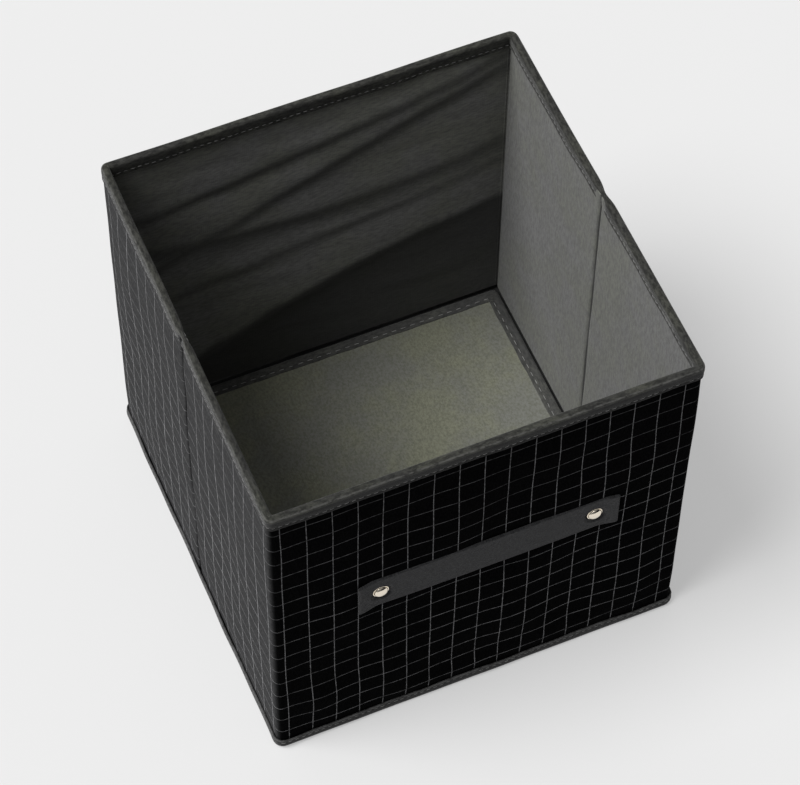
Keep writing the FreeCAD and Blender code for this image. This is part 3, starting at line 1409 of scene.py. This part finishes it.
@dataclass
class RimTape:
    """Binding tape folded over the walls' top edge and sewn through."""

    sizes: BinSizes
    thickness: float = 0.7 * MM
    step: float = 1.15 * MM
    stitch_height: float = 2.6 * MM
    corner_radius: float = 2.2 * MM
    fold_radius: float = 1.9 * MM
    leg_points: int = 12
    groove: float = 0.28 * MM
    pucker: float = 0.10 * MM
    pinch_share: float = 0.48
    pinch_reach: float = 6 * MM
    pinch_drop: float = 1 * MM
    sway: Ripples = Ripples(61, 0.25 * MM, 60 * MM, 200 * MM)
    lift: Ripples = Ripples(62, 0.35 * MM, 50 * MM, 220 * MM)
    hem: Ripples = Ripples(63, 0.3 * MM, 18 * MM, 80 * MM)
    puff: Ripples = Ripples(64, 0.22 * MM, 14 * MM, 60 * MM)

    def __post_init__(self) -> None:
        """Work out the section's half width from the rim's two faces."""
        s = self.sizes
        self.middle = (s.half + s.rim_in) / 2
        self.half_width = (s.half - s.rim_in) / 2
        self.stitches = StitchRow(seed=3)

    def section(self) -> Section:
        """The folded section, from the outside's lower edge over the top to the inside's.

        Returns:
            The section.
        """
        w, r = self.half_width, self.fold_radius
        top, low = self.sizes.height, self.sizes.tape_bottom
        angle = np.linspace(0.0, math.pi / 2, 5)[1:]
        flat = np.linspace(w - r, 0.0, 3)[1:]
        out = np.concatenate([np.full(self.leg_points, w), w - r + r * np.cos(angle), flat])
        leg = np.linspace(low, top - r, self.leg_points)
        high = np.concatenate([leg, top - r + r * np.sin(angle), np.full(2, top)])
        return Section(
            np.concatenate([out, -out[-2::-1]]), np.concatenate([high, high[-2::-1]])
        )

    def face(self, us: np.ndarray) -> tuple[np.ndarray, np.ndarray, np.ndarray]:
        """Outer face of the tape.

        Args:
            us: places along the rim.

        Returns:
            Its points, their normals and the cloth's coordinates.
        """
        s = self.sizes
        u, o, v, cloth = self.section().sweep(us)
        inside = (o < 0).astype(float)
        down = (s.height - v) / (s.height - s.tape_bottom)
        sway = self.sway.at(u, u * 0)
        lift = self.lift.at(u, u * 0) - self.lift.height
        hem = self.hem.at(u, inside * 0.3)
        from_seam = v - (s.tape_bottom + self.stitch_height)
        groove = bell(from_seam, 1.1 * MM) * self.groove
        turn = 2 * math.pi * u / self.stitches.pitch
        pucker = self.pucker * np.cos(turn) * bell(from_seam, 2.2 * MM)
        swell = self.puff.at(u, v) + pucker - groove
        swell *= rise(down, 0.1, 0.45) * np.sign(o)
        v = v + lift * (1 - down) + hem * down
        pinch = self.pinch(u)
        base = PlanLoop(s.half, self.middle, self.corner_radius)
        face = base.place(u, (o + swell) * (1 - pinch) + sway, v - pinch * self.pinch_drop)
        return face, normals_of(face), cloth

    def pinch(self, u: np.ndarray) -> np.ndarray:
        """How much thinner the rim is at the creases of the side walls, as a share."""
        h = self.sizes.half
        near = bell(u + 2 * h, self.pinch_reach) + bell(u - 2 * h, self.pinch_reach)
        return self.pinch_share * near

    def build(self, span: Span, finishes: Finishes) -> None:
        """Make the span's tape and the two rows of stitches through it.

        Args:
            span: the stretch of wall.
            finishes: the bin's materials.
        """
        us = np.linspace(span.start, span.end, int((span.end - span.start) / self.step) + 2)
        face, normal, cloth = self.face(us)
        back = face - normal * self.thickness
        piece = sheet_object(f"{span.name}_rim_tape_folded", face, back, cloth, finishes.rim)
        span.stand_for("rim_tape")
        span.attach(piece)
        line = PlanLoop(self.sizes.half, self.middle, self.corner_radius)
        length = line.length(span.start, span.end)
        LOG.info("%s: %d points", piece.name, len(piece.data.vertices))
        high = self.section().high[: self.leg_points]
        seam = int(np.argmin(np.abs(high - self.sizes.tape_bottom - self.stitch_height)))
        for name, column in (("outer", seam), ("inner", -1 - seam)):
            row = self.stitches.sew(
                f"{span.name}_rim_{name}_stitches", self.face, span.start + span.bare_start,
                span.end - span.bare_end, column, finishes.grey_thread,
            )
            span.attach(row)


# ---------------------------------------------------------------- bottom


@dataclass
class Bottom:
    """Soft bottom cloth with a tape bound round its seam."""

    sizes: BinSizes
    tape: float = 0.7 * MM
    lip: float = 5.2 * MM
    turn: float = 2.2 * MM
    corner_radius: float = 6.0 * MM
    cloth_top: float = 1.45 * MM
    sag: Ripples = Ripples(71, 0.12 * MM, 40 * MM, 120 * MM)
    seam_column: int = 2
    step: float = 2.3 * MM
    folded_depth: float = 32.6 * MM
    climb: float = 6.15 * MM

    def squash(self, piece: bpy.types.Object, climbs: bool) -> None:
        """Give the piece its own copy of its mesh.

        Args:
            piece: the cloth, tape or thread.
            climbs: whether a lean of its far side is worked out; the lean is not applied.
        """
        s = self.sizes
        keep = self.folded_depth / (2 * s.seam_out)
        lean = self.climb / (2 * s.seam_out * (1 - keep)) if climbs else 0.0
        -lean
        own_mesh(piece)

    def tape_section(self) -> Section:
        """From the tape's top edge down the outside and under the bottom.

        Returns:
            The section.
        """
        r = self.turn
        angle = np.linspace(0.0, math.pi / 2, 6)[1:]
        under = np.linspace(-r, -self.lip, 5)[1:]
        leg = np.linspace(self.sizes.seam_top, r, 8)
        return Section(
            np.concatenate([np.zeros(8), -r + r * np.cos(angle), under]),
            np.concatenate([leg, r - r * np.sin(angle), np.zeros(4)]),
        )

    def tape_face(self, us: np.ndarray, loop: bool = False) -> tuple[np.ndarray, ...]:
        """Outer face of the tape.

        Args:
            us: places along the tape.
            loop: whether the last place meets the first.

        Returns:
            Its points, their normals and the cloth's coordinates.
        """
        s = self.sizes
        u, o, v, cloth = self.tape_section().sweep(us)
        up = v / s.seam_top
        wave = 2 * math.pi / (8 * s.half)
        sway = 0.3 * MM * (1.6 + np.sin(9 * wave * u + 1.0) + np.sin(23 * wave * u) * 0.6)
        hem = 0.4 * MM * (np.sin(14 * wave * u + 2.0) + np.sin(37 * wave * u + 0.4) * 0.6)
        flare = 0.5 * MM * np.sin(math.pi * np.clip(up, 0, 1)) * (up > 0)
        base = PlanLoop(s.half, s.seam_out, self.corner_radius)
        face = base.place(u, o + sway * rise(up, 0.0, 0.5) + flare, v + hem * rise(up, 0.5, 1.0))
        return face, -normals_of(face, loop), cloth

    def build(self, finishes: Finishes) -> None:
        """Make the tape, its stitches and the bottom cloth.

        Args:
            finishes: the bin's materials.
        """
        around = 8 * self.sizes.half
        us = PlanLoop(self.sizes.half, self.sizes.seam_out, self.turn).around(self.step)
        face, normal, cloth = self.tape_face(us, True)
        back = face - normal * self.tape
        back[..., 2] = np.maximum(back[..., 2], face[..., 2])
        tape = sheet_object(
            "bottom_seam_tape_folded", face[:, ::-1], back[:, ::-1], cloth[:, ::-1],
            finishes.seam, True,
        )
        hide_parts("bottom_seam_tape")
        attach(tape, "root")
        self.squash(tape, True)
        stitches = StitchRow(seed=8).sew(
            "bottom_seam_stitches", self.tape_face, -self.sizes.half, 7 * self.sizes.half,
            self.seam_column, finishes.grey_thread,
        )
        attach(stitches, "root")
        self.squash(stitches, True)
        self.build_cloth(finishes)
        LOG.info("bottom: seam tape, stitches and cloth")

    def build_cloth(self, finishes: Finishes) -> None:
        """Make the bottom cloth, a little slack between its seams.

        Args:
            finishes: the bin's materials.
        """
        half = self.sizes.seam_out - self.turn
        x, y, free = square_grid(half, 90, 0.0, 30 * MM)
        low = self.tape + 0.05 * MM + (self.sag.at(x, y) - 0.2 * MM) * free
        face = np.stack([x, y, np.full_like(x, self.cloth_top)], -1)
        back = np.stack([x, y, np.maximum(low, 0.1 * MM)], -1)
        cloth = np.stack([x, y], -1)
        sheet = sheet_object("bottom_cloth_sheet", face, back, cloth, finishes.bottom)
        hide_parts("bottom_cloth")
        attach(sheet, "root")
        self.squash(sheet, False)
        2 * half
        2 * half


# ---------------------------------------------------------------- insert


@dataclass
class Insert:
    """The loose base: a board between two cloths, bound and sewn round its edge."""

    sizes: BinSizes
    edge_radius: float = 5.0 * MM
    tape: float = 0.6 * MM
    step: float = 1.33 * MM
    tape_lap: float = 8.4 * MM
    stitches: StitchRow = StitchRow(seed=14, length=4.4 * MM, pitch=7.0 * MM)
    stitch_inset: float = 6.2 * MM
    groove: float = 0.22 * MM
    pucker: float = 0.08 * MM
    cloth_inset: float = 1.0 * MM
    upper_ease: float = 0.30 * MM
    lower_ease: float = 0.2 * MM
    waves: Ripples = Ripples(81, 0.16 * MM, 25 * MM, 110 * MM)

    def __post_init__(self) -> None:
        """Read the insert's box off the frame."""
        low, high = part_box("insert_binding")
        self.half = high.x
        self.low, self.high = low.z, high.z
        self.tape_width = self.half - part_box("insert_upper_cloth")[1].x + self.tape_lap

    def tape_face(self, us: np.ndarray, loop: bool = False) -> tuple[np.ndarray, ...]:
        """Outer face of the binding: over the top edge, round it, and back underneath.

        Args:
            us: places along the tape.
            loop: whether the last place meets the first.

        Returns:
            Its points, their normals and the cloth's coordinates.
        """
        middle = (self.low + self.high) / 2
        thick = (self.high - self.low) / 2
        flat = np.linspace(-self.tape_width, -thick, 9)
        angle = np.linspace(math.pi / 2, -math.pi / 2, 9)[1:-1]
        u, o, v, cloth = Section(
            np.concatenate([flat, -thick + thick * np.cos(angle), flat[::-1]]),
            np.concatenate([np.full(9, thick), thick * np.sin(angle), np.full(9, -thick)]),
        ).sweep(us)
        turn = 2 * math.pi / (8 * self.sizes.half)
        hem = 0.12 * MM * (np.sin(31 * turn * u) + np.sin(53 * turn * u + 1.0))
        inner = bell(o + self.tape_width, 1.5 * MM)
        from_seam = o + self.stitch_inset
        groove = self.groove * bell(from_seam, 1.0 * MM)
        pull = np.cos(2 * math.pi * u / self.stitches.pitch)
        bump = self.pucker * pull * bell(from_seam, 2.0 * MM)
        v = v - np.sign(v) * (groove + bump)
        base = PlanLoop(self.sizes.half, self.half, self.edge_radius)
        face = base.place(u, o + hem * inner, v + middle)
        return face, -normals_of(face, loop), cloth

    def build(self, finishes: Finishes) -> None:
        """Make the cloths, the binding and the stitches.

        Args:
            finishes: the bin's materials.
        """
        around = 8 * self.sizes.half
        us = PlanLoop(self.sizes.half, self.half, self.edge_radius).around(self.step)
        face, normal, cloth = self.tape_face(us, True)
        back = face - normal * self.tape
        tape = sheet_object(
            "insert_binding_folded", face[:, ::-1], back[:, ::-1], cloth[:, ::-1],
            finishes.insert_tape, True,
        )
        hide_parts("insert_binding")
        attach(tape, "insert")
        self.build_cloth("insert_upper_cloth", 1.0, finishes.insert, "insert_cloth")
        self.build_cloth("insert_lower_cloth", -1.0, finishes.lining, "lining_cloth")
        for name, column in (("upper", 3), ("lower", -4)):
            row = self.stitches.sew(
                f"insert_{name}_stitches", self.tape_face, -self.sizes.half,
                7 * self.sizes.half, column, finishes.pale_thread,
            )
            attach(row, "insert")
        LOG.info("insert: two cloths, binding and stitches")

    def build_cloth(
        self, node: str, side: float, material: bpy.types.Material, slot: str
    ) -> None:
        """Make one cloth.

        Args:
            node: the CAD node that it stands for.
            side: 1 for the upper cloth, and -1 for the lower one.
            material: its finish.
            slot: not used.
        """
        low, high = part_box(node)
        half = high.x - self.cloth_inset
        x, y, free = square_grid(half, 110, 7 * MM, 22 * MM)
        waves = self.waves.at(x, y)
        face_z, back_z = np.full_like(x, high.z), np.full_like(x, low.z)
        if side > 0:
            face_z += (self.upper_ease + waves) * free
        else:
            back_z -= (self.lower_ease + waves) * free
        face = np.stack([x, y, face_z], -1)
        back = np.stack([x, y, back_z], -1)
        sheet = sheet_object(f"{node}_sheet", face, back, np.stack([x, y], -1), material)
        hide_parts(node)
        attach(sheet, "insert")
        2 * half
        2 * half


# ---------------------------------------------------------------- handle


@dataclass
class Handle:
    """Felt strap held flat to the front by two domed rivets."""

    curl: float = 2.2 * MM
    cap_share: float = 0.93
    edge_round: float = 1.0 * MM
    dimple: float = 1.15 * MM
    dimple_lip: float = 0.25 * MM
    dimple_reach: float = 1.8 * MM
    lip_reach: float = 1.6 * MM
    cap_gap: float = 0.5 * MM
    slack: float = 0.5 * MM
    end_round: float = 1.5 * MM
    fuzz: Ripples = Ripples(91, 0.08 * MM, 6 * MM, 40 * MM)
    wave: Ripples = Ripples(92, 0.25 * MM, 40 * MM, 120 * MM)
    dome_rise: float = 1.25
    dome_share: float = 0.86
    sides: int = 48

    def __post_init__(self) -> None:
        """Read the strap's box and the rivets' places off the frame."""
        self.low, self.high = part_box("handle_strap")
        caps_low, caps_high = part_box("rivet_caps")
        self.cap_radius = (caps_high.z - caps_low.z) / 2 * self.cap_share
        self.middle_x = (self.low.x + self.high.x) / 2
        self.rivet_x = (caps_high.x - caps_low.x - (caps_high.z - caps_low.z)) / 2
        self.rivet_z = (caps_high.z + caps_low.z) / 2
        self.cap_height = caps_high.y - caps_low.y

    def strap_line(self, x: np.ndarray) -> np.ndarray:
        """How far the strap's back stands off the cover.

        Args:
            x: distances from the strap's middle.

        Returns:
            The gap at each.
        """
        past = np.abs(x) - self.rivet_x
        tip = (self.high.x - self.low.x) / 2
        curl = self.curl * rise(past, 1 * MM, tip - self.rivet_x + 1 * MM)
        between = np.clip(1 - (x / self.rivet_x) ** 2, 0, 1)
        return curl + self.slack * between**0.7

    def build(self, finishes: Finishes) -> None:
        """Make the strap and the rivets' caps.

        Args:
            finishes: the bin's materials.
        """
        self.build_strap(finishes.strap)
        self.build_caps(finishes.brass)
        LOG.info("handle: strap and two rivet caps")

    def build_strap(self, material: bpy.types.Material) -> None:
        """Make the strap, its long edges rounded and its face dimpled at the rivets.

        Args:
            material: the felt.
        """
        half = (self.high.x - self.low.x) / 2
        xs = np.linspace(-half, half, 260)
        middle = (self.low.z + self.high.z) / 2
        reach = (self.high.z - self.low.z) / 2
        angle = np.linspace(-math.pi / 2, math.pi / 2, 49)
        zs = middle + reach * np.sin(angle)
        x, z = np.meshgrid(xs, zs, indexing="ij")
        across = np.abs(z - middle) / reach
        end = np.clip((half - np.abs(x)) / self.end_round, 0, 1)
        thick = self.high.y - self.low.y
        to_edge = np.clip((1 - across) * reach / self.edge_round, 0, 1)
        blunt = 0.35 + 0.65 * np.sqrt(1 - (1 - end) ** 2)
        body = thick * np.sqrt(1 - (1 - to_edge) ** 2) ** 0.6 * blunt
        to_rivet = np.hypot(np.abs(x) - self.rivet_x, z - self.rivet_z)
        hole = self.cap_radius + self.cap_gap
        press = self.dimple * rise(-to_rivet, -hole - self.dimple_reach, -hole)
        press -= self.dimple_lip * bell(to_rivet - hole - 2.2 * MM, self.lip_reach)
        fuzz = self.fuzz.at(x, z)
        wave = self.wave.at(x, z * 0)
        stand = self.strap_line(x) + np.maximum(wave, 0.0) * (to_rivet > 10 * MM)
        centre = self.high.y - stand - thick / 2
        face_y = centre - body / 2 + press + fuzz * (body > thick / 2)
        back_y = np.minimum(centre + body / 2, self.high.y)
        lean = (z - middle) * (1 + 0.004 * np.sin(x / (30 * MM))) + middle
        face = np.stack([x + self.middle_x, face_y, lean], -1)
        back = np.stack([x + self.middle_x, back_y, lean], -1)
        strap = sheet_object("handle_strap_felt", face, back, np.stack([x, z], -1), material)
        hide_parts("handle_strap")
        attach(strap, "root")

    def build_caps(self, material: bpy.types.Material) -> None:
        """Turn the two domed caps, each with a rolled rim.

        Args:
            material: the brass.
        """
        r, h = self.cap_radius, self.cap_height
        wide = r * self.dome_share
        dome = [(wide * math.sin(a), h * (0.30 + self.dome_rise * math.cos(a)))
                for a in np.linspace(0.0, math.pi / 2, 13)]
        rim = [(r * (0.93 + 0.07 * math.cos(a)), h * (0.19 + 0.19 * math.sin(a)))
               for a in np.linspace(math.pi * 0.8, -math.pi / 2, 9)]
        radius, height = np.array(dome + rim + [(0.0, 0.0)]).T[:, :, None]
        angle = np.arange(self.sides) * 2 * math.pi / self.sides
        z = self.rivet_z + radius * np.sin(angle)
        y = np.broadcast_to(self.low.y + self.dimple - height, z.shape)
        index = np.arange(2 * z.size).reshape(2, *z.shape)
        here, following = index[:, :-1], index[:, 1:]
        corners = [here, np.roll(here, -1, 2), np.roll(following, -1, 2), following]
        faces = np.stack(corners, -1).reshape(-1, 4).tolist()
        place = np.stack([
            np.stack([self.middle_x + side * self.rivet_x + radius * np.cos(angle), y, z], -1)
            for side in (-1, 1)
        ]).reshape(-1, 3)
        caps = mesh_object("rivet_caps_domed", place, faces, place[:, [0, 2]], material, 60.0)
        self.weld(caps)
        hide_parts("rivet_caps")
        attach(caps, "root")

    @staticmethod
    def weld(piece: bpy.types.Object) -> None:
        """Join the points that meet at the caps' poles, and drop the empty faces.

        Args:
            piece: the caps.
        """
        modifier = piece.modifiers.new("weld", "WELD")
        modifier.merge_threshold = 0.001 * MM
        with bpy.context.temp_override(
            object=piece, active_object=piece, selected_objects=[piece]
        ):
            bpy.ops.object.modifier_apply(modifier=modifier.name)


# ---------------------------------------------------------------- studio


@dataclass(frozen=True)
class Studio:
    """Pale floor, soft light from the left and above, and the camera."""

    lens: float = 148.5
    sensor: float = 36.0
    distance: float = 2.137
    azimuth: float = math.radians(-23.60)
    elevation: float = math.radians(56.69)
    roll: float = math.radians(0.81)
    target: tuple[float, float, float] = (0.0097, 0.0147, 0.112)
    bright_side: tuple[float, float, float] = (-0.45, 0.22, 0.86)
    bright: float = 0.48
    dim: float = 0.02
    sun_way: tuple[float, float, float] = (0.50, -0.03, -0.86)
    sun_strength: float = 3.0
    sun_spread: float = math.radians(32.0)
    floor_reach: float = 6.0

    def camera(self) -> None:
        """Place the camera."""
        data = bpy.data.cameras.new("camera")
        data.lens = self.lens
        data.sensor_width = self.sensor
        data.clip_end = 50.0
        level = math.cos(self.elevation)
        across, ahead = level * math.sin(self.azimuth), level * math.cos(self.azimuth)
        back = Vector((across, -ahead, math.sin(self.elevation)))
        camera = bpy.data.objects.new("camera", data)
        camera.location = Vector(self.target) + back * self.distance
        aim = (-back).to_track_quat("-Z", "Y") @ Quaternion((0.0, 0.0, 1.0), self.roll)
        camera.rotation_mode = "QUATERNION"
        camera.rotation_quaternion = aim
        bpy.context.scene.collection.objects.link(camera)
        bpy.context.scene.camera = camera

    def sun(self) -> None:
        """Hang one soft sun."""
        data = bpy.data.lights.new("key", "SUN")
        data.energy = self.sun_strength
        data.angle = self.sun_spread
        light = bpy.data.objects.new("key", data)
        light.rotation_mode = "QUATERNION"
        light.rotation_quaternion = Vector(self.sun_way).to_track_quat("-Z", "Y")
        bpy.context.scene.collection.objects.link(light)

    def room(self) -> None:
        """Light the room from above, behind and the left; its front stays dark."""
        world = bpy.data.worlds.new("studio")
        g = Graph(world)
        way = g.node("ShaderNodeTexCoord", {}, (), "Generated")
        facing = g.node(
            "ShaderNodeVectorMath", {"operation": "DOT_PRODUCT"}, (way, self.bright_side), "Value"
        )
        strength = facing.span(-0.1, 0.9, self.dim, self.bright)
        white = {"Color": (1.0, 1.0, 1.0), "Strength": strength}
        light = g.node("ShaderNodeBackground", {}, white)
        g.node("ShaderNodeOutputWorld", {}, {"Surface": light})
        bpy.context.scene.world = world

    def build(self, finishes: Finishes) -> None:
        """Make the floor, the lights and the camera.

        Args:
            finishes: the materials.
        """
        corners = self.floor_reach * np.array([(-1.0, -1, 0), (1, -1, 0), (1, 1, 0), (-1, 1, 0)])
        floor = mesh_object("floor", corners, [[0, 1, 2, 3]], corners[:, :2], finishes.paper)
        self.room()
        self.sun()
        bpy.context.scene.view_settings.view_transform = "Standard"
        self.camera()
        LOG.info("studio: floor, lights and camera")


# ---------------------------------------------------------------- main


def dress_carried_nodes(finishes: Finishes) -> None:
    """Give the CAD nodes that stay shown their finish.

    Args:
        finishes: the bin's materials.
    """
    for name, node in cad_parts.items():
        if name.endswith("_board"):
            material = finishes.board
        elif name.startswith("rivet_"):
            material = finishes.brass
        else:
            continue
        node.data.materials.clear()
        node.data.materials.append(material)


def main() -> None:
    """Build the bin and its studio."""
    logging.basicConfig(level=logging.INFO, format="%(name)s: %(message)s")
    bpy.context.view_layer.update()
    finishes = Finishes()
    Studio().build(finishes)
    sizes = BinSizes.from_frame()
    dress_carried_nodes(finishes)
    spans = Spans(sizes.half).all()
    cover = WallCloth(sizes, Layer.COVER)
    lining = WallCloth(sizes, Layer.LINING)
    rim = RimTape(sizes)
    for span in spans:
        cover.build(span, finishes.cover)
        lining.build(span, finishes.lining)
        rim.build(span, finishes)
    Bottom(sizes).build(finishes)
    Insert(sizes).build(finishes)
    Handle().build(finishes)


if __name__ == "__main__":
    main()
